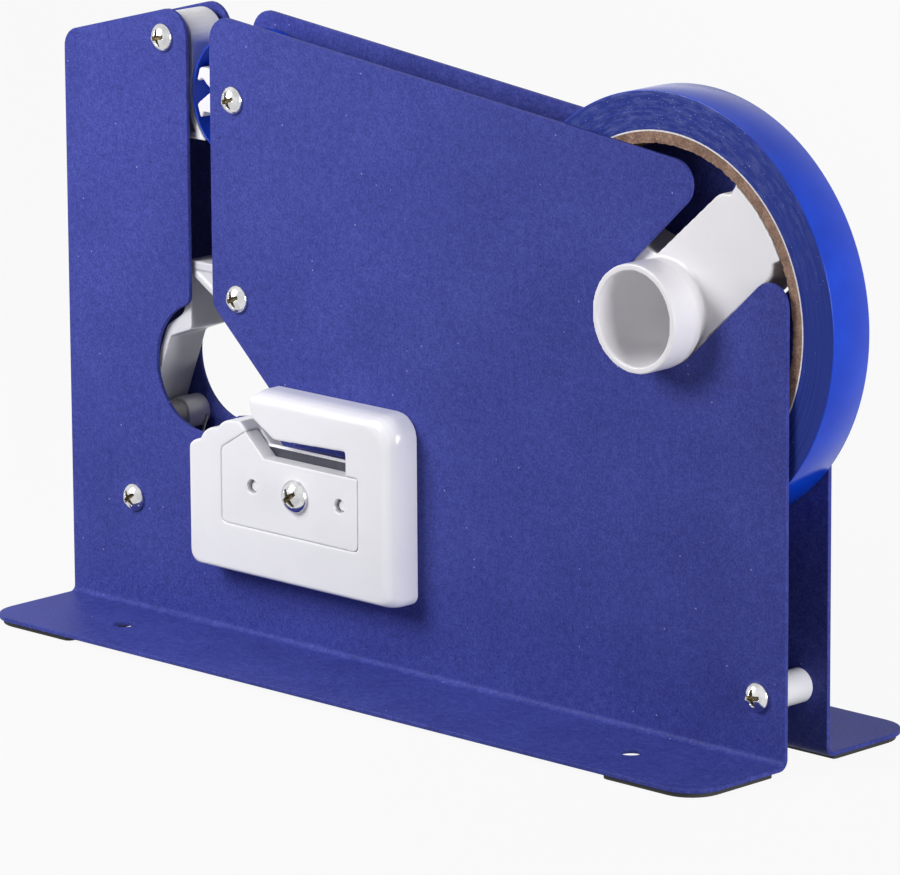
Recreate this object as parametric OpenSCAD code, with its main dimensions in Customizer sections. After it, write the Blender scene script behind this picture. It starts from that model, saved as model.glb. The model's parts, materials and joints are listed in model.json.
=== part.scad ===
// Bag neck sealer: two bent steel side plates hold a roll of sealing tape on a lift-out hub,
// a toothed wheel and two sprung guides at the neck slot, and a trimming cutter outside.
// X runs from the slot end to the roll end, -Y is the cutter side, Z = 0 is the table.
// Module coordinates count X from the plates' left edge and Y from the mid plane between them.

/* [Side plates] */
// Length of the side plates
plate_length = 232.8; // [226:0.2:245]
// Sheet thickness with its powder coat
sheet = 1.1; // [0.9:0.05:1.5]
// Clear gap between the two plates
gap = 13.2; // [12.8:0.1:16]
// Depth of each foot flange from the plate's outer face
flange_depth = 30; // [26:0.5:36]
// Inner radius of the flange bend
bend_r = 1.5; // [1:0.1:3]
// Radius of the flange's two outer corners
flange_corner_r = 9; // [5:0.5:12]
// Height of the front column's top at its left edge
column_height = 141.7; // [138:0.1:144]
// Slope of the front column's top edge, in degrees
column_slope = 14.6; // [12:0.1:17]
// How far the rear part's top line stands over the front column's at the left edge
rear_rise = 15.4; // [13.5:0.1:18]
// Slope of the rear part's top edge, in degrees
rear_slope = -6.1; // [-8:0.1:-4]
// Diameter of the four fixing holes in the flanges
fixing_hole_d = 5.1; // [4:0.1:6]
// Distance of a fixing hole from the end of its flange
fixing_inset = 33.2; // [31:0.1:38]
// Distance of a fixing hole from the plate's outer face
fixing_depth = 14.5; // [12:0.1:17]

/* [Neck slot and pocket] */
// Left edge of the neck slot
slot_x = 42.5; // [41.8:0.1:43]
// Width of the neck slot
slot_w = 8; // [7.5:0.1:9]
// Radius of the round pocket under the slot
pocket_r = 15.56; // [14.5:0.1:16.5]
// Centre of the round pocket, across and up
pocket_c = [46.3, 65];
// Slope of the pocket's straight right edge, in degrees
chute_slope = 42.8; // [40:0.1:46]
// Lower edge of the cutting gap in the plates
throat_z = 50.6; // [50:0.1:51]
// Height of the cutting gap in the plates
throat_h = 4.8; // [4:0.1:5.5]
// Right end of the cutting gap in the plates
throat_end_x = 104; // [100:0.5:108]

/* [Tape and hub] */
// Width of the tape
tape_w = 12; // [9:0.5:12]
// Inner radius of the cardboard core
core_r = 38.1; // [36:0.1:39]
// Wall of the cardboard core
core_wall = 3; // [2:0.1:4]
// Depth of the tape wound on the core
tape_depth = 8.9; // [3:0.1:12]
// Distance of the hub's centre from the plates' right edge
hub_inset = 37.8; // [37:0.1:40]
// Height of the hub's centre
hub_z = 100.2; // [99:0.1:102]
// Outer radius of the hub tube between its collars
hub_r = 12.2; // [11.5:0.1:12.6]
// Wall of the hub tube
hub_wall = 1.3; // [1.1:0.1:2.5]
// Length of hub tube that stands out of each plate
hub_reach = 8.8; // [6:0.1:11]
// Radius of the hub slot's round end
hub_slot_r = 13.1; // [12.8:0.1:14]
// Slope of the hub slots, in degrees
hub_slot_angle = 43; // [41:0.5:45]
// Width of each hub spoke
spoke_w = 22.8; // [20:0.2:23.4]
// Thickness of the running tape
tape_t = 0.3; // [0.2:0.05:0.5]

/* [Toothed wheel] */
// Distance of the wheel's centre from the slot's left edge
star_out = 15.8; // [15.6:0.1:16.4]
// Drop of the wheel's centre below the front column's top
star_drop = 10; // [9:0.1:12]
// Radius at the tooth tips
star_r = 14.7; // [14:0.1:14.8]
// Radius of the wheel's body under the teeth
star_body_r = 9.6; // [8:0.1:10.5]
// Number of teeth
star_teeth = 10; // [8:1:12]
// Where the tape's free end sits on the wheel, in degrees from +X
tape_end_angle = 235; // [220:1:245]

/* [Guides and posts] */
// Distance of the entry guide's pivot from the slot
flap_in = 7.9; // [7.5:0.1:9]
// Height of the entry guide's pivot over the front column's top
flap_up = 2.3; // [1:0.1:2.6]
// Width of the entry guide along Y
flap_w = 10.4; // [8:0.1:11]
// Pivot of the swing lever, across and up
lever_c = [22.1, 29.5];
// Width of the swing lever along Y
lever_w = 12; // [9:0.1:12.2]
// Wall of the swing lever
lever_wall = 2; // [1.5:0.1:2.4]
// Centre of the lever's stop post, across and up
stop_c = [30.4, 50.3];
// Centre of the middle spacer, across and up
middle_c = [59.1, 83.9];
// Distance of the rear spacer from the plates' right edge
rear_inset = 8.2; // [7.5:0.1:14]
// Height of the rear spacer
rear_z = 16.9; // [14:0.1:24]
// Outer radius of the spacers and posts
spacer_r = 4; // [3.6:0.1:4.3]
// Outer radius of the two thin axle tubes
axle_r = 3; // [2.6:0.1:3.4]
// Diameter of the spring wire
spring_wire = 0.8; // [0.5:0.1:0.9]
// Free gap between two turns of a spring
spring_gap = 0.5; // [0.45:0.05:0.6]

/* [Cutter] */
// Centre of the cutter's fixing screw, across and up
cutter_c = [86.5, 41.6];
// Depth of the cutter housing from the plate
cutter_depth = 8.4; // [7.5:0.1:10]
// Thickness of the blade cover
cover_t = 4.2; // [3.6:0.1:4.8]
// Thickness of the blade
blade_t = 0.6; // [0.3:0.1:0.8]
// Length of the blade
blade_l = 41.6; // [40:0.1:43]
// Height of the blade
blade_h = 19; // [17:0.1:20]
// Height of the cutting edge above the table
blade_edge_z = 51.6; // [51.2:0.1:52]
// Distance of each locating pin from the screw
pin_pitch = 14.6; // [13:0.1:16]

/* [Screws and feet] */
// Head diameter of a frame screw
screw_head_d = 7; // [6:0.1:7.6]
// Height of a frame screw's head
screw_head_h = 2.4; // [1.8:0.1:2.8]
// Radius of a frame screw's shank
shank_r = 1.6; // [1.4:0.05:1.8]
// Radial clearance of a shank in a plate
shank_play = 0.3; // [0.2:0.05:0.5]
// Thickness of the rubber pads
pad_t = 1.2; // [0.8:0.1:3]
// Length of the rubber pads
pad_l = 28.3; // [20:0.1:28.6]
// Distance of the pads from the flange's edges
pad_inset = 1; // [0.5:0.1:2]

/* [Hidden] */
$fn = 72;

run_fit = 0.05;          // radial clearance of a turning fit
side_play = 0.3;         // clearance beside and around moving pieces
seam = 0.08;             // clearance round the inset blade cover
arc_steps = 8;           // straight stretches in one rounded corner, fewer in a small one
blue = "#3f46a0";
white = "#ecebee";
steel = "#b9bcc2";

face_y = gap / 2 + sheet;               // outer face of a plate
half_gap = gap / 2;
bend_top = pad_t + sheet + bend_r;      // where the upright web starts
rear_height = column_height + rear_rise;
roll_r = core_r + core_wall + tape_depth;
hub_c = [plate_length - hub_inset, hub_z];
star_c = [slot_x + star_out, column_height - star_drop];
flap_c = [slot_x - flap_in, column_height + flap_up];
rear_c = [plate_length - rear_inset, rear_z];
origin_x = -(hub_c[0] + roll_r) / 2;    // brings the whole machine to the middle of X
slot_right = slot_x + slot_w;
slot_c = hub_c + [0, hub_slot_r - hub_r - run_fit];
axle_bore = shank_r + 0.1;
screw_hole_r = shank_r + shank_play;
slot_dir = [cos(hub_slot_angle), sin(hub_slot_angle)];
slot_side = [-sin(hub_slot_angle), cos(hub_slot_angle)];

// Running tape: a straight stretch between the wheel's top and the roll's underside.
lead_r = star_r + side_play;                        // inside of the tape on the wheel
star_line_r = lead_r + tape_t / 2;
roll_line_r = roll_r + side_play + tape_t / 2;
span = norm(hub_c - star_c);
span_angle = atan2(hub_c[1] - star_c[1], hub_c[0] - star_c[0]);
web_angle = span_angle - asin((star_line_r + roll_line_r) / span);
web_start = star_c + star_line_r * [-sin(web_angle), cos(web_angle)];
web_length = sqrt(pow(span, 2) - pow(star_line_r + roll_line_r, 2));

// Centres of the frame screws that pass through both plates.
frame_points = [flap_c, star_c, middle_c, lever_c, rear_c];

function unit(v) = v / norm(v);
function turn(from, to) = ((to - from + 540) % 360) - 180;
function arc(c, r, a0, a1, n) = [for (i = [0:n]) c + r * [cos(a0 + (a1 - a0) * i / n), sin(a0 + (a1 - a0) * i / n)]];
// Points of the corner b between a and c, rounded to radius r.
function corner(a, b, c, r) =
    r == 0 ? [b] :
    let (u = unit(a - b), w = unit(c - b), half = acos(u * w) / 2)
    let (mid = b + unit(u + w) * r / sin(half), s = b + u * r / tan(half) - mid, e = b + w * r / tan(half) - mid)
    let (a0 = atan2(s[1], s[0]))
    arc(mid, r, a0, a0 + turn(a0, atan2(e[1], e[0])), r < 0.7 ? 4 : arc_steps);
function xy(p) = [p[0], p[1]];
function polar(r, a) = r * [cos(a), sin(a)];
// Outline through the corners [x, z, radius].
function rounded(p) = [for (i = [0:len(p) - 1], q =
    corner(xy(p[(i + len(p) - 1) % len(p)]), xy(p[i]), xy(p[(i + 1) % len(p)]), p[i][2])) q];

// Stands a flat outline (x, z) up between y0 and y0 + depth.
module upright(y0, depth) translate([origin_x, y0 + depth, 0]) rotate([90, 0, 0]) linear_extrude(depth) children();
module rod(c, y0, length, r) upright(y0, length) translate(c) circle(r);
module tube(c, y0, length, r, bore) upright(y0, length) translate(c) difference() {
    circle(r);
    circle(bore);
}

// ---- side plates ----
column_top = column_height + slot_x * tan(column_slope);
function rear_top(x) = rear_height + x * tan(rear_slope);
// Where the top line meets the hub slot's upper edge, and the slot's lower edge meets the plate's end.
upper_edge = slot_c + hub_slot_r * slot_side;
lower_edge = slot_c - hub_slot_r * slot_side;
beak_x = (rear_height - upper_edge[1] + upper_edge[0] * tan(hub_slot_angle)) / (tan(hub_slot_angle) - tan(rear_slope));
heel_z = lower_edge[1] + (plate_length - lower_edge[0]) * tan(hub_slot_angle);
// Small round between the slot's left edge and the pocket.
shoulder_r = 3;
shoulder_x = slot_x - shoulder_r;
shoulder_z = pocket_c[1] + sqrt(pow(pocket_r + shoulder_r, 2) - pow(shoulder_x - pocket_c[0], 2));
shoulder_end = atan2(pocket_c[1] - shoulder_z, pocket_c[0] - shoulder_x);
tongue = [64, 56.2];                     // tip of the plate between pocket and cutting gap
chute_top = 81.2;                        // height where the pocket's straight edge leaves the slot
throat_top = throat_z + throat_h;
chute_foot = slot_right + (chute_top - throat_top) / tan(chute_slope);
pocket_end = -asin((pocket_c[1] - tongue[1] + 1) / pocket_r);

module plate_outline() difference() {
    polygon(concat(
        [[0, bend_top]],
        corner([0, bend_top], [0, column_height], [slot_x, column_top], 5),
        corner([0, column_height], [slot_x, column_top], [slot_x, chute_top], 6),
        arc([shoulder_x, shoulder_z], shoulder_r, 0, shoulder_end, 4),
        arc(pocket_c, pocket_r, 180 + shoulder_end, 360 + pocket_end, 30),
        corner([60, 55.5], tongue, [70.5, throat_z], 1),
        corner(tongue, [70.5, throat_z], [throat_end_x, throat_z], 2),
        corner([70, throat_z], [throat_end_x, throat_z], [throat_end_x, throat_top], 1.5),
        corner([throat_end_x, throat_z], [throat_end_x, throat_top], [70, throat_top], 1.5),
        corner([throat_end_x, throat_top], [chute_foot, throat_top], [slot_right, chute_top], 3),
        corner([chute_foot, throat_top], [slot_right, chute_top], [slot_right, rear_top(slot_right)], 4),
        corner([slot_right, chute_top], [slot_right, rear_top(slot_right)], [beak_x, rear_top(beak_x)], 6),
        corner([slot_right, rear_top(slot_right)], [beak_x, rear_top(beak_x)], upper_edge, 5.6),
        [upper_edge, lower_edge],
        corner(lower_edge, [plate_length, heel_z], [plate_length, bend_top], 5.2),
        [[plate_length, bend_top]]));
    translate(slot_c) circle(hub_slot_r);
    for (c = frame_points) translate(c) circle(screw_hole_r);
}

module flange_outline() polygon(rounded([
    [0, -bend_r, 0],
    [0, -flange_depth, flange_corner_r],
    [plate_length, -flange_depth, flange_corner_r],
    [plate_length, -bend_r, 0]]));

// Near plate: upright web, quarter bend and foot flange with its two fixing holes.
module plate_body() {
    upright(-face_y, sheet) difference() {
        plate_outline();
        children();
    }
    translate([origin_x, -face_y, pad_t]) linear_extrude(sheet) difference() {
        flange_outline();
        for (x = [fixing_inset, plate_length - fixing_inset]) translate([x, -fixing_depth]) circle(d = fixing_hole_d);
    }
    translate([origin_x, -face_y - bend_r, bend_top]) rotate([90, 0, 90]) linear_extrude(plate_length)
        intersection() {
            difference() {
                circle(bend_r + sheet);
                circle(bend_r);
            }
            translate([0, -bend_r - sheet]) square(bend_r + sheet);
        }
}

peg_pitch = 26;                          // the housing's back pegs, either side of the screw
peg_r = 1.8;
peg_drop = 12;                           // the pegs sit below the screw
cutter_screw_r = 1.9;

module near_side_plate() color(blue) plate_body() {
    translate(cutter_c) circle(cutter_screw_r + shank_play);
    for (s = [-1, 1]) translate(cutter_c + [s * peg_pitch, -peg_drop]) circle(peg_r + run_fit);
}

module far_side_plate() color(blue) mirror([0, 1, 0]) plate_body() {
    translate(stop_c) circle(screw_hole_r);
}

// Rubber pad under one end of a flange.
module pad(right, far) color("#17171a") mirror([0, far ? 1 : 0, 0])
    translate([origin_x + (right ? plate_length : 0), -face_y, 0]) mirror([right ? 1 : 0, 0, 0])
        linear_extrude(pad_t) polygon(rounded([
            [pad_inset, -bend_r - sheet, 1],
            [pad_inset, -flange_depth + pad_inset, flange_corner_r - pad_inset],
            [pad_inset + pad_l, -flange_depth + pad_inset, 2],
            [pad_inset + pad_l, -bend_r - sheet, 1]]));
module near_left_pad() pad(false, false);
module near_right_pad() pad(true, false);
module far_left_pad() pad(false, true);
module far_right_pad() pad(true, true);

// ---- posts and spacers between the plates ----
module spacer(c, r) color(white) tube(c, -half_gap, gap, r, axle_bore);
flap_axle_r = axle_r + 0.5;
module flap_pivot_tube() spacer(flap_c, flap_axle_r);
module star_axle_tube() spacer(star_c, axle_r);
module middle_spacer() spacer(middle_c, spacer_r);
module front_spacer() spacer(lever_c, spacer_r);
module rear_spacer() spacer(rear_c, spacer_r);

// Post on the far plate that stops the lever; its near half is a thin stem for a sleeve.
stop_stem_r = spacer_r - 1.4;
stop_split = -0.2;
module lever_stop_post() color(white) difference() {
    union() {
        rod(stop_c, stop_split, half_gap - stop_split, spacer_r);
        rod(stop_c, -half_gap + side_play, gap - side_play, stop_stem_r);
    }
    // the screw's bore runs out through the far end
    rod(stop_c, stop_split, half_gap - stop_split + 1, axle_bore);
}
module stop_sleeve() color("#8f8d92")
    tube(stop_c, -half_gap + side_play, half_gap + stop_split - 2 * side_play, spacer_r - 0.4, stop_stem_r + run_fit);

// ---- entry guide: a moulded shoe that swings on its pivot and follows the toothed wheel ----
shoe_play = 1.5;                         // room left between shoe and tape for the bag film
shoe_r = lead_r + tape_t + shoe_play;
shoe_foot = 224;                         // angle where the shoe ends under the wheel
guide_rim = 1.7;
guide_back = 7.4;                        // from the pivot to the guide's left side
guide_heel = 7;                          // from the pivot down to the guide's lower left corner
shank_x = 4.5;                           // from the slot's edge to the left side of the shoe's shank
shank_z = 10;                            // from the pivot down to the shank's top
function guide_outline(inset) =
    let (face_x = slot_x - side_play - inset, left_x = flap_c[0] - guide_back + inset, r = shoe_r + inset)
    let (top = column_height - 0.8 - inset, foot = star_c + r * [cos(shoe_foot), sin(shoe_foot)])
    let (floor_z = star_c[1] + shoe_r * sin(shoe_foot) + inset)
    let (top_left = [left_x, top + left_x * tan(column_slope)], top_right = [face_x, top + face_x * tan(column_slope)])
    let (shank_foot = [slot_x - shank_x + inset, floor_z], heel = [left_x, flap_c[1] - guide_heel + inset])
    let (shank_top = [flap_c[0] - 1.5 + inset, flap_c[1] - shank_z + inset])
    concat(
        corner([left_x, 0], top_left, top_right, 2),
        corner(top_left, top_right, [face_x, 0], 6.5),
        arc(star_c, r, 180 - acos((star_c[0] - face_x) / r), shoe_foot - inset * 2, 14),
        [[foot[0] - inset * 1.5, floor_z]],
        corner(foot, shank_foot, shank_top, 2.5),
        corner(shank_foot, shank_top, heel, 3),
        corner(shank_top, heel, [left_x, flap_c[1]], 1));

module entry_guide() color(white) difference() {
    upright(-flap_w / 2, flap_w) polygon(guide_outline(0));
    // recess in the near face, framed by the rim
    upright(-flap_w / 2 - 1, 4) intersection() {
        polygon(guide_outline(guide_rim));
        translate([0, flap_c[1] - 22.4]) square([80, 14.5]);
    }
    // room for the spring's turns in the far face
    rod(flap_c, flap_w / 2 - 4.2, 5, flap_axle_r + 1.5);
    rod(flap_c, -half_gap, gap, flap_axle_r + run_fit);
}

// ---- toothed wheel ----
// One tooth lying along +X: a finger whose tip turns down the slot in a small barb.
module tooth() polygon(rounded([
    [star_body_r - 1, -3.1, 0],
    [star_r - 2.4, -1.6, 1.5],
    [star_r - 0.1, -0.7, 1],
    [star_r - 0.3, 2.5, 0.3],
    [star_r - 1, 2.7, 0.3],
    [star_r - 1.7, 1.4, 0.5],
    [star_body_r - 1, 2.9, 0]]));
star_w = 11;
first_tooth = 158;                       // angle of one tooth's root at rest
module star_wheel() color(white) difference() {
    upright(-star_w / 2, star_w) translate(star_c) {
        circle(star_body_r);
        for (i = [0:star_teeth - 1]) rotate(first_tooth + i * 360 / star_teeth) tooth();
    }
    rod(star_c, -half_gap, gap, axle_r + run_fit);
    // moulded recess round the bore on both faces
    for (s = [-1, 1]) translate([0, s * star_w / 2, 0]) tube(star_c, -1.5, 3, star_body_r - 1.8, axle_r + 2);
}

// ---- swing lever ----
lever_dir = unit(stop_c - lever_c);
lever_left = [-lever_dir[1], lever_dir[0]];
lever_angle = atan2(lever_dir[1], lever_dir[0]);
web_face = spacer_r + side_play;         // the web clears the stop post by the side play
lever_foot = lever_c + web_face * lever_left;
web_middle = lever_foot + lever_wall / 2 * lever_left;
lever_knee = stop_c + web_face * lever_left + 20.5 * lever_dir;
lever_back = lever_knee + lever_wall * lever_left + 2 * lever_dir;
finger_x = slot_x - 1.2;                 // slot side of the upright finger
finger_z = 90.6;                         // top of the finger
shelf_z = lever_knee[1] + 2.7;
hood_end = middle_c[0] - spacer_r - 1;   // the hood stops short of the middle spacer
boss_r = spacer_r + run_fit + lever_wall;
boss_end = 0.6;                          // far end of the boss; the spring's turns lie beyond it
spring_rest = 10.7;                      // how far up the web the spring's leg starts to bear

// Thin web up the lever's left side, an S bend over the pocket, the upright finger and the hood's roof.
module lever_web() polygon(concat(
    [lever_foot],
    corner(lever_foot, lever_knee, [finger_x, shelf_z], 2),
    corner(lever_knee, [finger_x, shelf_z], [finger_x, finger_z], 1.5),
    corner([finger_x, shelf_z], [finger_x, finger_z - lever_wall], [hood_end, finger_z - lever_wall], 0.8),
    corner([finger_x, finger_z - lever_wall], [hood_end, finger_z - lever_wall], [hood_end, finger_z], 0.5),
    corner([hood_end, finger_z - lever_wall], [hood_end, finger_z], [finger_x, finger_z], 0.5),
    corner([hood_end, finger_z], [finger_x - lever_wall, finger_z], [finger_x - lever_wall, shelf_z], 1.5),
    corner([finger_x - lever_wall, finger_z], [finger_x - lever_wall, shelf_z + 4], lever_back, 4.5),
    corner([finger_x - lever_wall, shelf_z + 4], lever_back, lever_foot + lever_wall * lever_left, 4),
    [lever_foot + lever_wall * lever_left]));
module hood_cheek(edge) polygon([
    [finger_x - lever_wall / 2, finger_z - 0.6],
    [hood_end, finger_z - 0.6],
    [hood_end, finger_z - 11 + edge],
    [finger_x - lever_wall / 2, finger_z - 2.6 + edge]]);

module swing_lever() color("#d9d8dc") difference() {
    union() {
        upright(-lever_w / 2, lever_w) lever_web();
        // boss on the front spacer, open on its far side for the spring
        upright(-lever_w / 2, lever_w / 2 + boss_end) {
            translate(lever_c) circle(boss_r);
            polygon([web_middle, web_middle + 5 * lever_dir, lever_c + 3 * lever_dir, lever_c]);
        }
        // the hood's two cheeks have a thicker lower edge
        for (s = [-1, 1]) {
            upright(s * (lever_w / 2 - 1.1) - 0.7, 1.4) hood_cheek(0);
            upright(s * (lever_w / 2 - 0.9) - 0.9, 1.8) difference() {
                hood_cheek(0);
                hood_cheek(1.7);
            }
        }
    }
    rod(lever_c, -half_gap, gap, spacer_r + run_fit);
    // past the boss the web starts where the spring's leg bears on it
    upright(boss_end, lever_w) translate(lever_c) rotate(lever_angle)
        translate([-boss_r, 0]) square([boss_r + spring_rest, 2 * boss_r]);
}

// ---- torsion springs: one unbroken wire, a leg, the turns and a leg ----
function coil_path(r, turns, start, pitch, leg_a, leg_b) =
    let (steps = 16, total = turns * 360)
    let (a1 = start + total)
    concat(
        [[r * cos(start) + leg_a * sin(start), 0, r * sin(start) - leg_a * cos(start)]],
        [for (i = [0:ceil(turns * steps)]) let (a = start + total * i / ceil(turns * steps))
            [r * cos(a), pitch * (a - start) / 360, r * sin(a)]],
        [[r * cos(a1) - leg_b * sin(a1), pitch * turns, r * sin(a1) + leg_b * cos(a1)]]);
module wire(path, d) {
    sides = 6;
    n = len(path);
    function along(i) = unit(path[min(i + 1, n - 1)] - path[max(i - 1, 0)]);
    function ring(i) = let (t = along(i), v = unit(cross(t, [0, 1, 0])), w = cross(v, t))
        [for (k = [0:sides - 1]) path[i] + d / 2 * (cos(k * 60) * v + sin(k * 60) * w)];
    polyhedron(
        [for (i = [0:n - 1], p = ring(i)) p],
        concat(
            [[for (k = [0:sides - 1]) k]],
            [for (i = [0:n - 2], k = [0:sides - 1], f = [0, 1])
                let (a = i * sides + k, b = i * sides + (k + 1) % sides)
                f == 0 ? [b, a, a + sides] : [b, a + sides, b + sides]],
            [[for (k = [sides - 1:-1:0]) (n - 1) * sides + k]]));
}
spring_pitch = spring_wire + spring_gap;
echo(least_gap_between_turns_mm = spring_pitch - spring_wire);
function coil_r(r) = r + spring_wire / 2 + 0.35;
module spring(c, y0, r, turns, start, leg_a, leg_b) color(steel)
    translate([origin_x + c[0], y0 + spring_wire / 2, c[1]])
        wire(coil_path(coil_r(r), turns, start, spring_pitch, leg_a, leg_b), spring_wire);
module guide_spring() spring(flap_c, flap_w / 2 - 4, flap_axle_r, 2.5, 20, 0.5, 0.5);
// One leg bears on the lever's web, the other on the right side of the stop post.
web_leg = 100;                           // where the web's leg leaves the turns, from the lever's line
post_leg = asin((coil_r(spacer_r) - spacer_r - spring_wire / 2 - run_fit) / norm(stop_c - lever_c));
module lever_spring() spring(lever_c, boss_end + 0.6, spacer_r,
    (990 - web_leg + post_leg) / 360, lever_angle + web_leg, spring_rest + 1.4, norm(stop_c - lever_c) + 1.5);

// ---- hub, core and roll ----
foot_r = core_r - 0.2;                   // the hub's feet slide into the core
spokes = 3;
spoke_angle = 41;                        // one spoke lies in line with the slots at rest
// One side of a spoke: straight, rounded in near the core, and a pad that bears on the core.
module spoke() intersection() {
    circle(foot_r);
    for (s = [0, 1]) mirror([0, s]) polygon(concat(
        [[0, 0], [0, spoke_w / 2]],
        corner([0, spoke_w / 2], [foot_r - 5.9, spoke_w / 2], [foot_r - 4, spoke_w / 2 - 2.1], 5),
        corner([foot_r - 5.9, spoke_w / 2], [foot_r - 4, spoke_w / 2 - 2.1], [foot_r, spoke_w / 2 - 1], 1),
        [[foot_r, spoke_w / 2 - 1], [foot_r, 0]]));
}
// Shallow trough down the face of a spoke, deepest at the tube and running out before the core.
trough_d = 1.6;
trough_half = 8;
trough_r = (pow(trough_half, 2) + pow(trough_d, 2)) / 2 / trough_d;
trough_tilt = atan2(trough_d, foot_r - 5 - hub_r);
module trough() translate([hub_r, tape_w / 2 - trough_d, 0]) rotate([0, 0, trough_tilt])
    translate([-4.2, trough_r, 0]) rotate([0, 90, 0]) cylinder(h = foot_r, r = trough_r);
tube_l = 2 * (face_y + hub_reach);
collar_l = hub_reach - 1.3;              // the tube's thicker ends, outside the plates

module hub_place() translate([origin_x + hub_c[0], 0, hub_c[1]]) children();
module tape_hub() color(white) difference() {
    union() {
        difference() {
            upright(-tape_w / 2, tape_w) translate(hub_c) for (i = [0:spokes - 1])
                rotate(spoke_angle + i * 360 / spokes) spoke();
            hub_place() for (f = [0, 1], i = [0:spokes - 1]) rotate([0, -spoke_angle - i * 360 / spokes, 0])
                mirror([0, f, 0]) translate([0, tape_w / 2, 0]) trough();
        }
        rod(hub_c, -tube_l / 2, tube_l, hub_r);
        for (y = [-tube_l / 2, tube_l / 2 - collar_l]) rod(hub_c, y, collar_l, hub_r + 0.3);
    }
    rod(hub_c, -tube_l / 2 - 1, tube_l + 2, hub_r - hub_wall);
}
module tape_core() color("#8d7261") tube(hub_c, -tape_w / 2, tape_w, core_r + core_wall, core_r);
module tape_roll() color("#1f3fb0") tube(hub_c, -tape_w / 2, tape_w, roll_r, core_r + core_wall + run_fit);

// Straight running tape, which leaves with the roll.
module tape_web() color("#2a4fc0") upright(-tape_w / 2, tape_w) translate(web_start) rotate(web_angle)
    translate([run_fit, -tape_t / 2]) square([web_length - run_fit, tape_t]);
// Tape that lies round the toothed wheel, with its free end below.
module tape_lead() color("#2a4fc0") upright(-tape_w / 2, tape_w) translate(star_c) intersection() {
    difference() {
        circle(lead_r + tape_t);
        circle(lead_r);
    }
    polygon(concat([[0, 0]], arc([0, 0], lead_r * 1.5, web_angle + 90, tape_end_angle, 16)));
}

// ---- cutter ----
housing_left = 49.4;
housing_right = 118.7;
housing_bottom = 19.2;
housing_top = 65;
gap_top_left = 54.1;                     // underside of the housing's upper jaw at the throat
gap_top_right = 55;
jaw_tip = [72.1, 58.3];
lip_tip = [67.7, 56.9];                  // point of the lip in front of the throat
window_left = 76;
window_right = 103.1;
window_z = 49;                           // top edge of the blade cover
cover_left = 61.5;
cover_right = 107;
cover_bottom = 31.5;
floor_t = cutter_depth - cover_t - blade_t;    // housing behind the blade
cut_start = blade_edge_z - 1.2;

module housing_slab(inset) polygon(rounded([
    [housing_left + inset * 0.4, housing_bottom + inset * 0.3, 3],
    [housing_right - inset, housing_bottom + inset * 0.3, 2.5],
    [housing_right - inset, housing_top - inset * 0.8, 6],
    [housing_left + inset * 0.4, housing_top - inset * 0.8, 3]]));
// Everything cut away above the lip and left of the upper jaw, with the throat down to the blade.
module mouth_outline() polygon(concat(
    [[window_right, gap_top_right], [jaw_tip[0] + 7.2, gap_top_left], jaw_tip, jaw_tip + [-1, 4.6],
        [jaw_tip[0] + 1, housing_top], [jaw_tip[0] + 1, housing_top + 1], [housing_left - 1, housing_top + 1],
        [housing_left - 1, 45.3]],
    arc([54.7, 45.3], 5.3, 180, 93.8, 6),
    arc([59.6, 48.4], 5.7, 157.3, 83, 6),
    arc([64.9, 51], 5.6, 146.5, 84, 6),
    [lip_tip, [window_left, cut_start - 1.4], [window_right, cut_start - 0.8]]));
module cover_outline(play) polygon(rounded([
    [cover_left - play, cover_bottom - play, 1.5],
    [cover_right + play, cover_bottom - play, 1.5],
    [cover_right + play, window_z + play, 0.5],
    [window_left, window_z + play, 0],
    [window_left - 6.2, window_z + 5.6 + play, 0],
    [cover_left - play, window_z + 0.5 + play, 1.5]]));
module throat_outline() polygon([
    [window_left - 6.2, window_z + 5.6 + seam], [window_left - 1, window_z], [window_right, window_z],
    [window_right, window_z + 3], [window_left + 2, window_z + 3], [window_left - 4, window_z + 8]]);
pin_points = [for (s = [-1, 1]) cutter_c + [s * pin_pitch, 0]];
locating_r = 1.4;
blade_left = cutter_c[0] - blade_l / 2 - 0.9;

module cutter_housing() color(white) difference() {
    // softly rounded shell: each layer is [depth behind the front, inset]
    hull() {
        upright(-face_y - 1, 1) housing_slab(0);
        for (layer = [[4.6, 0], [3.4, 0.12], [2, 0.6], [1, 1.4], [0.35, 2.4], [0, 3.6]])
            upright(-face_y - cutter_depth + layer[0], 0.05) housing_slab(layer[1]);
    }
    upright(-face_y - cutter_depth - 1, cutter_depth + 2) mouth_outline();
    difference() {
        upright(-face_y - cutter_depth - 1, cutter_depth + 1 - floor_t) union() {
            cover_outline(seam);
            throat_outline();
        }
        for (c = pin_points) rod(c, -face_y - cutter_depth + 1, cutter_depth - 1, locating_r);
    }
    // the blade's right end is tucked under the window's edge
    upright(-face_y - floor_t - blade_t - 0.1, blade_t + 0.1)
        translate([cutter_c[0] + pin_pitch + 2, blade_edge_z - blade_h]) square([6, blade_h + seam]);
    rod(cutter_c, -face_y - cutter_depth, cutter_depth + 1, cutter_screw_r + shank_play);
}
module blade_blank() difference() {
    translate([blade_left, blade_edge_z - blade_h]) square([blade_l, blade_h]);
    translate(cutter_c) circle(cutter_screw_r + shank_play);
    for (c = pin_points) translate(c) circle(locating_r + 0.1);
}
bevel_h = 0.5;                           // height of the ground edge
module cutter_blade() color(steel) difference() {
    upright(-face_y - floor_t - blade_t, blade_t) blade_blank();
    translate([origin_x + blade_left - 1, -face_y - floor_t - blade_t, blade_edge_z - bevel_h])
        rotate([atan2(-blade_t * 0.85, bevel_h), 0, 0])
            translate([0, -2, 0]) cube([blade_l + 2, 2, bevel_h * 2]);
}
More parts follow.
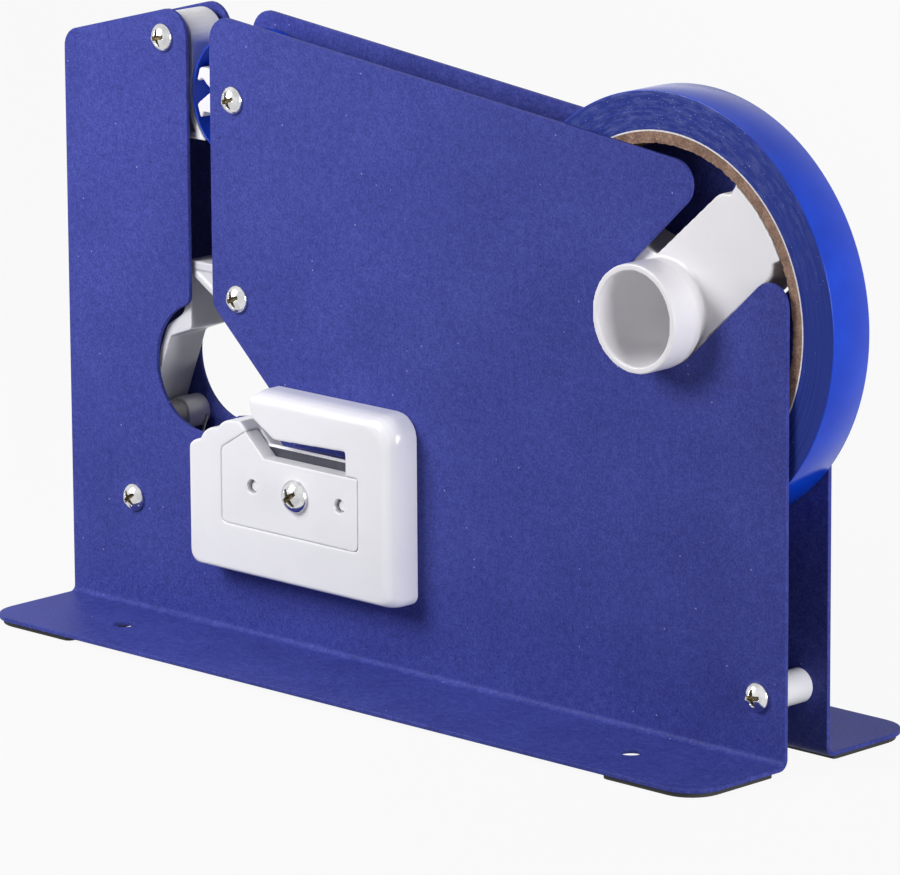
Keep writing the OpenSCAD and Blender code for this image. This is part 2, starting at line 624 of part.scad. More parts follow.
module blade_cover() color(white) upright(-face_y - cutter_depth, cover_t) difference() {
    cover_outline(0);
    translate(cutter_c) circle(cutter_screw_r + shank_play);
    for (c = pin_points) translate(c) circle(locating_r + 0.3);
}

// ---- screws ----
// Pan head with a cross recess, standing on y = 0 and pointing to -Y; the shank runs to +Y.
module pan_screw(head_d, head_h, r, length) {
    rim_h = head_h * 0.2;                // straight edge under the dome
    dome_r = (pow(head_d / 2, 2) + pow(head_h - rim_h, 2)) / 2 / (head_h - rim_h);
    rotate([90, 0, 0]) difference() {
        rotate_extrude() intersection() {
            translate([0, head_h - dome_r]) circle(dome_r);
            square([head_d / 2, head_h]);
        }
        for (a = [20, 110]) rotate(a) translate([-head_d * 0.28, -head_d * 0.075, head_h * 0.3])
            cube([head_d * 0.56, head_d * 0.15, head_h]);
    }
    translate([0, length, 0]) rotate([90, 0, 0]) cylinder(h = length, r = r);
}
module frame_screw(c) translate([origin_x + c[0], -face_y, c[1]])
    pan_screw(screw_head_d, screw_head_h, shank_r, sheet + gap * 0.4);
module near_frame_screws() color("silver") for (c = frame_points) frame_screw(c);
module far_frame_screws() color("silver") mirror([0, 1, 0]) for (c = concat(frame_points, [stop_c])) frame_screw(c);
nut_t = 3.2;
module cutter_screw() color("silver") translate([origin_x + cutter_c[0], -face_y - cutter_depth, cutter_c[1]])
    pan_screw(8.2, 2.9, cutter_screw_r, cutter_depth + sheet + nut_t + 1);
module cutter_nut() color("silver") upright(-half_gap, nut_t) translate(cutter_c) difference() {
    circle(d = 8.08, $fn = 6);
    circle(cutter_screw_r + run_fit);
}

near_side_plate();
far_side_plate();
near_left_pad();
near_right_pad();
far_left_pad();
far_right_pad();
flap_pivot_tube();
star_axle_tube();
middle_spacer();
front_spacer();
rear_spacer();
lever_stop_post();
stop_sleeve();
entry_guide();
guide_spring();
star_wheel();
swing_lever();
lever_spring();
tape_hub();
tape_core();
tape_roll();
tape_web();
tape_lead();
cutter_housing();
cutter_blade();
blade_cover();
cutter_screw();
cutter_nut();
near_frame_screws();
far_frame_screws();
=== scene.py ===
import json
import math
import bmesh
import bpy
from mathutils import Matrix, Vector, noise


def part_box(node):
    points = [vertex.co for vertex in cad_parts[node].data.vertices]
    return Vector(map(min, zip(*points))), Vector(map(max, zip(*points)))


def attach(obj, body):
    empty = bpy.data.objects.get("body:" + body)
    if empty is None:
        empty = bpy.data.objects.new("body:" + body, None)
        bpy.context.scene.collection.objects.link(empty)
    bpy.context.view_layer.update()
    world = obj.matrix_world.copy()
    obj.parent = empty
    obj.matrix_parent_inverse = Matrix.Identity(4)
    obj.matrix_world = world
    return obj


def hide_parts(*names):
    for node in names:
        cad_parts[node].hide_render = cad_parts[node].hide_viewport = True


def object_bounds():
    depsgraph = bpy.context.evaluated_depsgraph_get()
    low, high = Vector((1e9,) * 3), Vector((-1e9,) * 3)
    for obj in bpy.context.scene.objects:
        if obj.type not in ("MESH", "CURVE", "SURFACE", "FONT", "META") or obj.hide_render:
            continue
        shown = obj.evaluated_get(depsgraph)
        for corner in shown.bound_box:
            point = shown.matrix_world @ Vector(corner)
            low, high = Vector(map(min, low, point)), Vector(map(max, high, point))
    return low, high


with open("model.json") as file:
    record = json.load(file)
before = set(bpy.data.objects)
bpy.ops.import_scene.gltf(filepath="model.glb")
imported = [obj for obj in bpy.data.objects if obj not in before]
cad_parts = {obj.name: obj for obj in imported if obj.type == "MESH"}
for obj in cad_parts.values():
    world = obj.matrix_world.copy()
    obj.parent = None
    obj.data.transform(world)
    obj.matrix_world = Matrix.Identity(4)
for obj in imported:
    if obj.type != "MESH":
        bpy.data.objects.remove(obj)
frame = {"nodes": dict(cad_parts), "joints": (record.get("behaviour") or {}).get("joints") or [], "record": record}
cadLow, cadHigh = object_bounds()
mm = 0.001
print("frame loaded:", len(frame["nodes"]), "nodes")

# Places come from the frame: the joints' axes and the boxes of the nodes.
jointAt = {j["name"]: Vector(j["pos_m"]) for j in frame["joints"] if "pos_m" in j}
hubAxis = jointAt["roll_spin"]
leverAxis = jointAt["lever_swing"]
guideAxis = jointAt["guide_swing"]
rollLow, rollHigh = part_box("tape_roll")
coreLow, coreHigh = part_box("tape_core")


def middleOf(name):
    low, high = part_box(name)
    return (Vector(low) + Vector(high)) / 2


# Small helpers for materials.
def toLinear(red, green, blue):
    # 0-255 screen values to the linear colour that Blender's sockets hold
    parts = []
    for value in (red, green, blue):
        c = value / 255
        parts.append(c / 12.92 if c <= 0.04045 else ((c + 0.055) / 1.055) ** 2.4)
    return (*parts, 1.0)


def darker(colour, share):
    return (*(c * share for c in colour[:3]), 1.0)


def grey(value):
    return (value, value, value, 1.0)


socketNames = {
    "base": "Base Color", "rough": "Roughness", "metal": "Metallic", "spec": "Specular IOR Level",
    "sub": "Subsurface Weight", "subScale": "Subsurface Scale", "subRadius": "Subsurface Radius",
}


def newMaterial(name, **sockets):
    mat = bpy.data.materials.new(name)
    mat.use_nodes = True
    shader = mat.node_tree.nodes["Principled BSDF"]
    for key, value in sockets.items():
        shader.inputs[socketNames[key]].default_value = value
    return mat, mat.node_tree, shader


def feed(tree, socket, value):
    if isinstance(value, bpy.types.NodeSocket):
        tree.links.new(value, socket)
    else:
        socket.default_value = value


def addNode(tree, kind, sockets=None, **settings):
    item = tree.nodes.new(kind)
    for key, value in settings.items():
        setattr(item, key, value)
    for key, value in (sockets or {}).items():
        feed(tree, item.inputs[key], value)
    return item


def maths(tree, operation, *values):
    sockets = dict(enumerate(values))
    return addNode(tree, "ShaderNodeMath", sockets, operation=operation).outputs[0]


def vectorMaths(tree, operation, *values):
    sockets = dict(enumerate(values))
    return addNode(tree, "ShaderNodeVectorMath", sockets, operation=operation).outputs["Vector"]


def noiseField(tree, vector, scale, detail=2.0, rough=0.5):
    sockets = {"Vector": vector, "Scale": scale, "Detail": detail, "Roughness": rough}
    return addNode(tree, "ShaderNodeTexNoise", sockets).outputs["Fac"]


def ramp(tree, factor, stops):
    item = addNode(tree, "ShaderNodeValToRGB", {"Fac": factor})
    band = item.color_ramp
    while len(band.elements) < len(stops):
        band.elements.new(0.5)
    for element, (place, colour) in zip(band.elements, stops):
        element.position = place
        element.color = colour
    return item.outputs["Color"]


def colourRamp(tree, factor, *stops):
    # each stop is a place from 0 to 1 and a 0-255 colour
    return ramp(tree, factor, [(place, toLinear(*colour)) for place, colour in stops])


def greyRamp(tree, factor, *stops):
    return ramp(tree, factor, [(place, grey(value)) for place, value in stops])


def blendColour(tree, factor, under, over):
    # sockets 0, 6 and 7 are the factor and the two colours of a Mix node set to colour
    item = addNode(tree, "ShaderNodeMix", data_type="RGBA")
    for socket, value in zip((0, 6, 7), (factor, under, over)):
        feed(tree, item.inputs[socket], value)
    return item.outputs[2]


def specks(tree, vector, perMetre, share, size):
    # sparse round dots: a few of the cells of a Voronoi pattern, each with a small spot at its middle
    cell = addNode(tree, "ShaderNodeTexVoronoi", {"Vector": vector, "Scale": perMetre})
    chosen = addNode(tree, "ShaderNodeSeparateColor", {"Color": cell.outputs["Color"]}).outputs[0]
    return maths(tree, "MULTIPLY", maths(tree, "LESS_THAN", chosen, share),
                 maths(tree, "LESS_THAN", cell.outputs["Distance"], size))


def bump(tree, height, distance, strength=1.0):
    sockets = {"Height": height, "Distance": distance, "Strength": strength}
    return addNode(tree, "ShaderNodeBump", sockets).outputs["Normal"]


def objectCoords(tree, centre=(0, 0, 0)):
    place = addNode(tree, "ShaderNodeTexCoord").outputs["Object"]
    return vectorMaths(tree, "SUBTRACT", place, centre)


def link(tree, output, shader, name):
    tree.links.new(output, shader.inputs[name])


# Powder coat: fine orange peel, mottled blue, a few pale and dark specks.
coatLook = {
    "tones": ((0.36, (48, 54, 124)), (0.5, (60, 67, 144)), (0.64, (74, 82, 162))),
    "grainPerMetre": 1700, "mottlePerMetre": 520, "cloudPerMetre": 60,
    "grainShare": 0.5, "mottleShare": 0.35, "cloudShare": 0.15, "specksPerMetre": 420,
    "paleSpeck": {"colour": (150, 152, 206), "share": 0.07, "size": 0.09, "strength": 0.7},
    "darkSpeck": {"colour": (30, 32, 78), "share": 0.12, "size": 0.11, "strength": 0.6},
    "darkShift": (0.3, 0.1, 0.2), "gloss": ((0.3, 0.46), (0.7, 0.58)),
    "peel": 0.07 * mm, "peelStrength": 0.8,
}


def coatSpecks(tree, place, base, look):
    found = specks(tree, place, coatLook["specksPerMetre"], look["share"], look["size"])
    factor = maths(tree, "MULTIPLY", found, look["strength"])
    return blendColour(tree, factor, base, toLinear(*look["colour"]))


def powderCoat():
    mat, tree, shader = newMaterial("bluePowderCoat", rough=0.5, spec=0.1)
    place = objectCoords(tree)
    grain = noiseField(tree, place, coatLook["grainPerMetre"], 2.0, 0.6)
    mottle = noiseField(tree, place, coatLook["mottlePerMetre"], 3.0, 0.65)
    cloud = noiseField(tree, place, coatLook["cloudPerMetre"], 2.0, 0.5)
    blotch = maths(tree, "MULTIPLY", mottle, coatLook["mottleShare"])
    fine = maths(tree, "MULTIPLY_ADD", grain, coatLook["grainShare"], blotch)
    mix = maths(tree, "MULTIPLY_ADD", cloud, coatLook["cloudShare"], fine)
    base = colourRamp(tree, mix, *coatLook["tones"])
    shifted = vectorMaths(tree, "ADD", place, coatLook["darkShift"])
    base = coatSpecks(tree, shifted, base, coatLook["darkSpeck"])
    base = coatSpecks(tree, place, base, coatLook["paleSpeck"])
    link(tree, base, shader, "Base Color")
    link(tree, greyRamp(tree, mottle, *coatLook["gloss"]), shader, "Roughness")
    link(tree, bump(tree, fine, coatLook["peel"], coatLook["peelStrength"]), shader, "Normal")
    return mat


# Moulded plastic: almost even colour, a soft sheen and slight waves from the mould.
plasticLook = {
    "glossWhite": {"colour": (234, 233, 238), "rough": 0.24, "ripple": 0.05 * mm, "glow": 0.2},
    "hubWhite": {"colour": (235, 233, 237), "rough": 0.3, "ripple": 0.07 * mm, "glow": 0.25},
    "leverWhite": {"colour": (214, 213, 220), "rough": 0.28, "ripple": 0.05 * mm, "glow": 0.2},
    # the stop sleeve's mid grey is painted shade of the pocket it stands in
    "sleevePaintedShade": {"colour": (160, 156, 152), "rough": 0.4, "ripple": 0.05 * mm, "glow": 0.2},
}
mouldSkin = {"glowDepth": 1.6 * mm, "glowTint": (1.0, 0.95, 0.9), "cloudPerMetre": 45, "cloudShade": 0.95,
             "wavesPerMetre": 150}


def mouldedPlastic(name):
    look = plasticLook[name]
    mat, tree, shader = newMaterial(name, rough=look["rough"], sub=look["glow"],
                                    subScale=mouldSkin["glowDepth"], subRadius=mouldSkin["glowTint"])
    place = objectCoords(tree)
    colour = toLinear(*look["colour"])
    cloud = noiseField(tree, place, mouldSkin["cloudPerMetre"], 3.0, 0.5)
    shade = darker(colour, mouldSkin["cloudShade"])
    link(tree, ramp(tree, cloud, [(0.3, shade), (0.7, colour)]), shader, "Base Color")
    waves = noiseField(tree, place, mouldSkin["wavesPerMetre"], 2.0, 0.4)
    link(tree, bump(tree, waves, look["ripple"]), shader, "Normal")
    return mat


# Pad rubber: black, dull and finely grained.
rubberLook = {"grainPerMetre": 1800, "tones": ((0.3, 0.006), (0.7, 0.018)), "grainHeight": 0.08 * mm}


def padRubber():
    mat, tree, shader = newMaterial("blackPadRubber", rough=0.7)
    grain = noiseField(tree, objectCoords(tree), rubberLook["grainPerMetre"], 2.0)
    link(tree, greyRamp(tree, grain, *rubberLook["tones"]), shader, "Base Color")
    link(tree, bump(tree, grain, rubberLook["grainHeight"]), shader, "Normal")
    return mat


# Plated steel: bright, with a faint smudge that changes its tone and its gloss.
platingLook = {
    "screwPlating": {"tone": (222, 222, 224), "rough": 0.13},
    "nutPlating": {"tone": (190, 190, 190), "rough": 0.3},
}
smudgeLook = {"perMetre": 420, "shade": 0.78, "glossiest": 0.7, "dullest": 1.4,
              "grainPerMetre": 900, "grainHeight": 0.02 * mm}


def platedSteel(name):
    rough = platingLook[name]["rough"]
    tone = toLinear(*platingLook[name]["tone"])
    mat, tree, shader = newMaterial(name, metal=1.0, rough=rough)
    place = objectCoords(tree)
    smudge = noiseField(tree, place, smudgeLook["perMetre"], 3.0)
    dark = darker(tone, smudgeLook["shade"])
    link(tree, ramp(tree, smudge, [(0.38, dark), (0.6, tone)]), shader, "Base Color")
    gloss = ((0.3, rough * smudgeLook["glossiest"]), (0.7, rough * smudgeLook["dullest"]))
    link(tree, greyRamp(tree, smudge, *gloss), shader, "Roughness")
    grain = noiseField(tree, place, smudgeLook["grainPerMetre"])
    link(tree, bump(tree, grain, smudgeLook["grainHeight"]), shader, "Normal")
    return mat


# The cross in a screw's head is duller, darker brownish metal: old oil in it, and painted shade of the recess. The
# springs are drawn wire.
crossOilShadeLook = {"perMetre": 1500, "tones": ((0.35, (58, 50, 34)), (0.65, (132, 120, 88)))}
drawnLook = {"perMetre": 2600, "tones": ((0.3, (150, 152, 156)), (0.7, (205, 207, 210)))}


def crossOilAndShade():
    mat, tree, shader = newMaterial("crossOilAndShade", metal=0.75, rough=0.45)
    # dark brown tones: old oil together with the painted shade of the cross recess
    oilAndShade = noiseField(tree, objectCoords(tree), crossOilShadeLook["perMetre"], 3.0)
    link(tree, colourRamp(tree, oilAndShade, *crossOilShadeLook["tones"]), shader, "Base Color")
    return mat


def springSteel():
    mat, tree, shader = newMaterial("springSteel", metal=1.0, rough=0.3)
    drawn = noiseField(tree, objectCoords(tree), drawnLook["perMetre"], 1.0)
    link(tree, colourRamp(tree, drawn, *drawnLook["tones"]), shader, "Base Color")
    return mat


# Blade: dark blued face, and a near white painted highlight on the ground strip along the cutting edge.
bladeLook = {
    "groundStrip": 0.55 * mm, "scratchPerMetre": 3000, "scratchStretch": (1.0, 1.0, 0.05),
    "face": ((0.3, (50, 50, 62)), (0.7, (64, 64, 77))),
    # the edge tones are near white: the painted highlight on the ground strip
    "edge": ((0.3, (226, 226, 230)), (0.7, (250, 250, 252))), "scratchHeight": 0.02 * mm,
}


def bladeFinish():
    mat, tree, shader = newMaterial("bluedBlade", metal=0.1, rough=0.3)
    place = objectCoords(tree)
    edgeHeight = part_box("cutter_blade")[1][2] - bladeLook["groundStrip"]
    height = addNode(tree, "ShaderNodeSeparateXYZ", {"Vector": place}).outputs["Z"]
    # above this height the blade takes the painted highlight colours
    highlightStrip = maths(tree, "GREATER_THAN", height, edgeHeight)
    stretched = vectorMaths(tree, "MULTIPLY", place, bladeLook["scratchStretch"])
    scratch = noiseField(tree, stretched, bladeLook["scratchPerMetre"], 2.0)
    face = colourRamp(tree, scratch, *bladeLook["face"])
    edge = colourRamp(tree, scratch, *bladeLook["edge"])
    link(tree, blendColour(tree, highlightStrip, face, edge), shader, "Base Color")
    link(tree, bump(tree, scratch, bladeLook["scratchHeight"]), shader, "Normal")
    return mat


# Helpers for pieces.
def addPiece(name, mesh, body, materials, replaced):
    obj = bpy.data.objects.new(name, mesh)
    bpy.context.scene.collection.objects.link(obj)
    for material in materials:
        mesh.materials.append(material)
    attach(obj, body)
    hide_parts(*replaced)
    return obj


def smoothShade(mesh, angle):
    for face in mesh.polygons:
        face.use_smooth = True
    mesh.set_sharp_from_angle(angle=math.radians(angle))


weldLook = {"weld": 0.002 * mm, "flatDegrees": 0.4}


def weldedCopy(nodeName, name):
    # the CAD node's mesh in a new mesh, with its seams welded and its flat faces whole
    mesh = frame["nodes"][nodeName].data.copy()
    mesh.name = name
    mesh.materials.clear()
    if "custom_normal" in mesh.attributes:
        mesh.attributes.remove(mesh.attributes["custom_normal"])
    bm = bmesh.new()
    bm.from_mesh(mesh)
    bmesh.ops.remove_doubles(bm, verts=bm.verts, dist=weldLook["weld"])
    flat = math.radians(weldLook["flatDegrees"])
    bmesh.ops.dissolve_limit(bm, angle_limit=flat, verts=bm.verts, edges=bm.edges)
    bm.to_mesh(mesh)
    bm.free()
    return mesh


def bakedMesh(obj):
    # a new mesh of the object as its modifiers or its curve settings shape it
    shaped = obj.evaluated_get(bpy.context.evaluated_depsgraph_get())
    return bpy.data.meshes.new_from_object(shaped)


def bodyOf(nodeName):
    for body, nodes in frame["record"]["behaviour"]["bodies"].items():
        if nodeName in nodes:
            return body


def remadePiece(nodeName, name, material):
    return addPiece(name, weldedCopy(nodeName, name), bodyOf(nodeName), [material], [nodeName])


# A sheet or turned part keeps its shape and gets a small round on every crisp edge.
roundLook = {"steps": 2, "sharpDegrees": 38}


def edgedPiece(nodeName, name, material, width):
    obj = remadePiece(nodeName, name, material)
    edge = obj.modifiers.new("edgeRound", "BEVEL")
    edge.width, edge.segments = width, roundLook["steps"]
    edge.limit_method, edge.angle_limit = "ANGLE", math.radians(roundLook["sharpDegrees"])
    edge.use_clamp_overlap = False
    edge.harden_normals = True
    smoothShade(obj.data, roundLook["sharpDegrees"])


# A moulded part gets a fine even skin, smoothed until its corners look as they come from a mould.
def mouldedPiece(nodeName, look):
    obj = remadePiece(nodeName, look["name"], look["material"])
    skin = obj.modifiers.new("skin", "REMESH")
    skin.mode, skin.voxel_size = "VOXEL", look["voxel"]
    soften = obj.modifiers.new("soften", "SMOOTH")
    soften.factor, soften.iterations = 0.5, look["smoothing"]
    fewer = obj.modifiers.new("fewer", "DECIMATE")
    fewer.ratio = look["keep"]
    mesh = bakedMesh(obj)
    mesh.name = obj.name
    obj.modifiers.clear()
    obj.data = mesh
    smoothShade(mesh, 60)
    print(obj.name, "skin:", len(mesh.polygons), "faces")


plateLook = {"near_side_plate": "nearSidePlate", "far_side_plate": "farSidePlate", "edgeRound": 0.22 * mm}
frameBlue = powderCoat()
for nodeName in ("near_side_plate", "far_side_plate"):
    edgedPiece(nodeName, plateLook[nodeName], frameBlue, plateLook["edgeRound"])
print("side plates coated")

# Materials of the other CAD pieces.
glossWhite = mouldedPlastic("glossWhite")
hubWhite = mouldedPlastic("hubWhite")
leverWhite = mouldedPlastic("leverWhite")
sleevePaintedShade = mouldedPlastic("sleevePaintedShade")
padBlack = padRubber()
screwPlating = platedSteel("screwPlating")
nutPlating = platedSteel("nutPlating")
screwCross = crossOilAndShade()
wireSteel = springSteel()
bladeSteel = bladeFinish()

# Turned, cut and rubber pieces: name, material, slot and the round of the edges in millimetres.
edgedLook = {
    "near_left_pad": ("nearLeftPad", padBlack, "black_pad", 0.2),
    "near_right_pad": ("nearRightPad", padBlack, "black_pad", 0.2),
    "far_left_pad": ("farLeftPad", padBlack, "black_pad", 0.2),
    "far_right_pad": ("farRightPad", padBlack, "black_pad", 0.2),
    "flap_pivot_tube": ("flapPivotTube", glossWhite, "white_plastic", 0.25),
    "star_axle_tube": ("starAxleTube", glossWhite, "white_plastic", 0.25),
    "middle_spacer": ("middleSpacer", glossWhite, "white_plastic", 0.3),
    "front_spacer": ("frontSpacer", glossWhite, "white_plastic", 0.3),
    "rear_spacer": ("rearSpacer", glossWhite, "white_plastic", 0.3),
    "lever_stop_post": ("leverStopPost", glossWhite, "white_plastic", 0.3),
    "stop_sleeve": ("stopSleeve", sleevePaintedShade, "grey_plastic", 0.25),
    "cutter_nut": ("cutterNut", nutPlating, "plated_screw", 0.25),
}
for nodeName, (name, material, slotName, width) in edgedLook.items():
    edgedPiece(nodeName, name, material, width * mm)

mouldLook = {
    "cutter_housing": {"name": "cutterHousing", "material": glossWhite, "slot": "white_plastic",
                       "voxel": 0.28 * mm, "smoothing": 9, "keep": 0.45},
    "blade_cover": {"name": "bladeCover", "material": glossWhite, "slot": "white_plastic",
                    "voxel": 0.18 * mm, "smoothing": 3, "keep": 0.4},
    "tape_hub": {"name": "tapeHub", "material": hubWhite, "slot": "white_plastic",
                 "voxel": 0.3 * mm, "smoothing": 7, "keep": 0.45},
    "entry_guide": {"name": "entryGuide", "material": glossWhite, "slot": "white_plastic",
                    "voxel": 0.22 * mm, "smoothing": 6, "keep": 0.5},
    "swing_lever": {"name": "swingLever", "material": leverWhite, "slot": "pale_plastic",
                    "voxel": 0.22 * mm, "smoothing": 6, "keep": 0.5},
    "star_wheel": {"name": "starWheel", "material": glossWhite, "slot": "white_plastic",
                   "voxel": 0.22 * mm, "smoothing": 3, "keep": 0.5},
}
for nodeName, look in mouldLook.items():
    mouldedPiece(nodeName, look)


def coatNode(nodeName, material):
    # the CAD piece stays as it is and only takes a material
    mesh = frame["nodes"][nodeName].data
    mesh.materials.clear()
    mesh.materials.append(material)


coatNode("cutter_blade", bladeSteel)
print("moulded, turned and rubber pieces finished")


# Torsion springs: one round wire with a leg at each end, turned round the pivot.
springLook = {
    "lever_spring": {"name": "leverSpring", "axis": leverAxis, "radius": 4.75 * mm,
                     "start": 168.2, "sweep": 890.84, "firstLeg": 12.1 * mm, "lastLeg": 23.9 * mm},
    "guide_spring": {"name": "guideSpring", "axis": guideAxis, "radius": 4.25 * mm,
                     "start": 20.0, "sweep": 900.0, "firstLeg": 0.5 * mm, "lastLeg": 0.5 * mm},
}
wireLook = {"wire": 0.8 * mm, "pitch": 1.3 * mm, "stepDegrees": 7.5}


def springPath(look, startY):
    def onTurn(angle):
        return Vector((look["radius"] * math.cos(angle), 0, look["radius"] * math.sin(angle)))

    def along(angle):
        return Vector((-math.sin(angle), 0, math.cos(angle)))

    first, last = math.radians(look["start"]), math.radians(look["start"] + look["sweep"])
    steps = round(look["sweep"] / wireLook["stepDegrees"])
    base = Vector((look["axis"].x, startY + wireLook["wire"] / 2, look["axis"].z))
    path = [base + onTurn(first) - along(first) * look["firstLeg"]]
    for i in range(steps + 1):
        angle = first + (last - first) * i / steps
        rise = wireLook["pitch"] * (angle - first) / (2 * math.pi)
        path.append(base + onTurn(angle) + Vector((0, rise, 0)))
    path.append(path[-1] + along(last) * look["lastLeg"])
    return path


def makeSpring(nodeName, look):
    path = springPath(look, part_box(nodeName)[0][1])
    curve = bpy.data.curves.new(look["name"], "CURVE")
    curve.dimensions = "3D"
    curve.bevel_depth = wireLook["wire"] / 2
    curve.bevel_resolution = 4
    curve.use_fill_caps = True
    line = curve.splines.new("POLY")
    line.points.add(len(path) - 1)
    for point, place in zip(line.points, path):
        point.co = (*place, 1.0)
    shape = bpy.data.objects.new(look["name"], curve)
    bpy.context.scene.collection.objects.link(shape)
    mesh = bakedMesh(shape)
    bpy.data.objects.remove(shape)
    smoothShade(mesh, 50)
    addPiece(look["name"], mesh, "frame", [wireSteel], [nodeName])


for nodeName, look in springLook.items():
    makeSpring(nodeName, look)
print("springs wound")


# Pan head screws with a cross recess. The head stands on the plate and the shank goes through it.
headLook = {
    "rings": 34, "around": 96, "rim": 0.2, "rimDrop": 0.5, "edgeRound": 0.07,
    "crossReach": 0.29, "crossHalf": 0.088, "crossDepth": 0.55, "crossTaper": 0.35, "crossSlope": 0.45,
    "wallRun": 0.028, "endRun": 1.6, "crossFrom": 0.12,
}


def crossShare(u, v):
    # how deep the cross is at a point of the head, 0 to 1, with u and v in head diameters
    reach, half, wallRun = headLook["crossReach"], headLook["crossHalf"], headLook["wallRun"]
    deepest = 0.0
    for along, aside in ((abs(u), abs(v)), (abs(v), abs(u))):
        wall = (half * (1 - headLook["crossTaper"] * along / reach) - aside) / wallRun
        end = (reach - along) / (wallRun * headLook["endRun"])
        slope = 1 - headLook["crossSlope"] * min(along / reach, 1)
        deepest = max(deepest, max(0.0, min(1.0, wall, end)) * slope)
    return deepest


def headHeight(radius, size, height):
    # dome over a short straight rim, rounded where they meet
    rim = height * headLook["rim"]
    dome = ((size / 2) ** 2 + (height - rim) ** 2) / 2 / (height - rim)
    top = math.sqrt(max(dome ** 2 - radius ** 2, 0)) - dome + height
    near = max(0.0, radius / (size / 2) - (1 - headLook["edgeRound"])) / headLook["edgeRound"]
    return top - near ** 3 * rim * headLook["rimDrop"]


def addScrew(bm, place, outward, look, length, turn):
    # place is the middle of the seat on the plate; outward is -1 for the near side and 1 for the far side
    size, height, shank = look["size"], look["head"], look["shank"]
    around, rings = headLook["around"], headLook["rings"]
    deep = headLook["crossDepth"]
    c, s = math.cos(turn), math.sin(turn)

    def ringAt(radius, level):
        row = []
        for i in range(around):
            angle = 2 * math.pi * i / around
            x, z = radius * math.cos(angle), radius * math.sin(angle)
            share, rise = 0.0, level
            if level is None:
                share = crossShare((x * c + z * s) / size, (z * c - x * s) / size)
                rise = headHeight(radius, size, height) - share * deep * height
            row.append((bm.verts.new(place + Vector((x, outward * rise, z))), share))
        return row

    rows = [ringAt(size / 2 * (k / rings), None) for k in range(1, rings + 1)]
    rows += [ringAt(size / 2, 0.0), ringAt(shank, 0.0), ringAt(shank, -length)]
    tip = bm.verts.new(place - Vector((0, outward * length, 0)))
    top = headHeight(0, size, height) - deep * height
    pole = bm.verts.new(place + Vector((0, outward * top, 0)))
    for i in range(around):
        j = (i + 1) % around
        faces = [((pole, rows[0][i][0], rows[0][j][0]), 1)]
        faces.append(((tip, rows[-1][j][0], rows[-1][i][0]), 0))
        for a, b in zip(rows, rows[1:]):
            # faces deep in the cross take the second material, which carries the painted shade of the recess
            inCross = min(a[i][1], a[j][1], b[i][1], b[j][1]) > headLook["crossFrom"]
            faces.append(((a[i][0], b[i][0], b[j][0], a[j][0]), int(inCross)))
        for verts, slot in faces:
            bm.faces.new(verts).material_index = slot


def makeScrews(name, nodeName, places, outward, look, length, turns):
    mesh = bpy.data.meshes.new(name)
    bm = bmesh.new()
    for place, turn in zip(places, turns):
        addScrew(bm, place, outward, look, length, math.radians(turn))
    bmesh.ops.recalc_face_normals(bm, faces=bm.faces)
    bm.to_mesh(mesh)
    bm.free()
    smoothShade(mesh, 42)
    addPiece(name, mesh, "frame", [screwPlating, screwCross], [nodeName])


plateThickness = 1.1 * mm
frameScrewLook = {
    "size": 7.0 * mm, "head": 2.4 * mm, "shank": 1.6 * mm, "length": 6.3 * mm,
    "posts": ["flap_pivot_tube", "star_axle_tube", "middle_spacer", "front_spacer", "rear_spacer"],
    "nearTurns": [12, 20, 24, 38, 8], "farTurns": [30, 5, 61, 44, 17, 72],
}
cutterScrewLook = {"size": 8.2 * mm, "head": 2.9 * mm, "shank": 1.9 * mm, "turn": 35}


def makeAllScrews():
    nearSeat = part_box("near_side_plate")[1][1] - plateThickness
    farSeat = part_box("far_side_plate")[0][1] + plateThickness
    posts = [middleOf(post) for post in frameScrewLook["posts"]]
    near = [Vector((post.x, nearSeat, post.z)) for post in posts]
    far = [Vector((post.x, farSeat, post.z)) for post in posts + [middleOf("lever_stop_post")]]
    for name, nodeName, places, outward, turns in (
            ("nearFrameScrews", "near_frame_screws", near, -1, frameScrewLook["nearTurns"]),
            ("farFrameScrews", "far_frame_screws", far, 1, frameScrewLook["farTurns"])):
        makeScrews(name, nodeName, places, outward, frameScrewLook, frameScrewLook["length"], turns)
    low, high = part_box("cutter_screw")
    seat = Vector(((low.x + high.x) / 2, low.y + cutterScrewLook["head"], (low.z + high.z) / 2))
    makeScrews("cutterScrew", "cutter_screw", [seat], -1, cutterScrewLook, high.y - seat.y,
               [cutterScrewLook["turn"]])


makeAllScrews()
print("screws made")


# Tape: clear gloss on the tread, fine rings of the wound layers on the sides.
tapeLook = {
    "segments": 256, "edgeRound": 0.16 * mm, "wander": 0.05 * mm, "sideSteps": 9, "corePlay": 0.05 * mm,
    "film": ((0.3, (4, 56, 188)), (0.7, (6, 66, 206))), "filmPerRadian": 3.0, "filmPerMetre": 60.0,
    "filmScale": 1.6, "filmWaves": 0.1 * mm, "filmStrength": 0.5,
    "side": ((0.35, (26, 40, 114)), (0.62, (40, 58, 142))), "sideRings": 0.06 * mm, "ringStrength": 0.6,
    "layers": {"perMetre": 7000.0, "perRadian": 1.2, "detail": 3.0, "rough": 0.6},
    "scuffs": {"perMetre": 900.0, "perRadian": 9.0, "detail": 3.0, "rough": 0.65},
    "dots": {"perMetre": 3000.0, "perRadian": 75.0, "detail": 1.0, "rough": 0.5},
    # pale violet for the scuffs and for the painted sheen on the upper part
    "scuffsAndSheen": (128, 136, 196), "hazeShares": ((0.45, 0.0), (0.75, 0.34)), "upperSheenFrom": 0.1,
    "speck": (160, 170, 216), "speckLevel": 0.79, "speckDrop": -0.07, "speckStrength": 0.8,
}


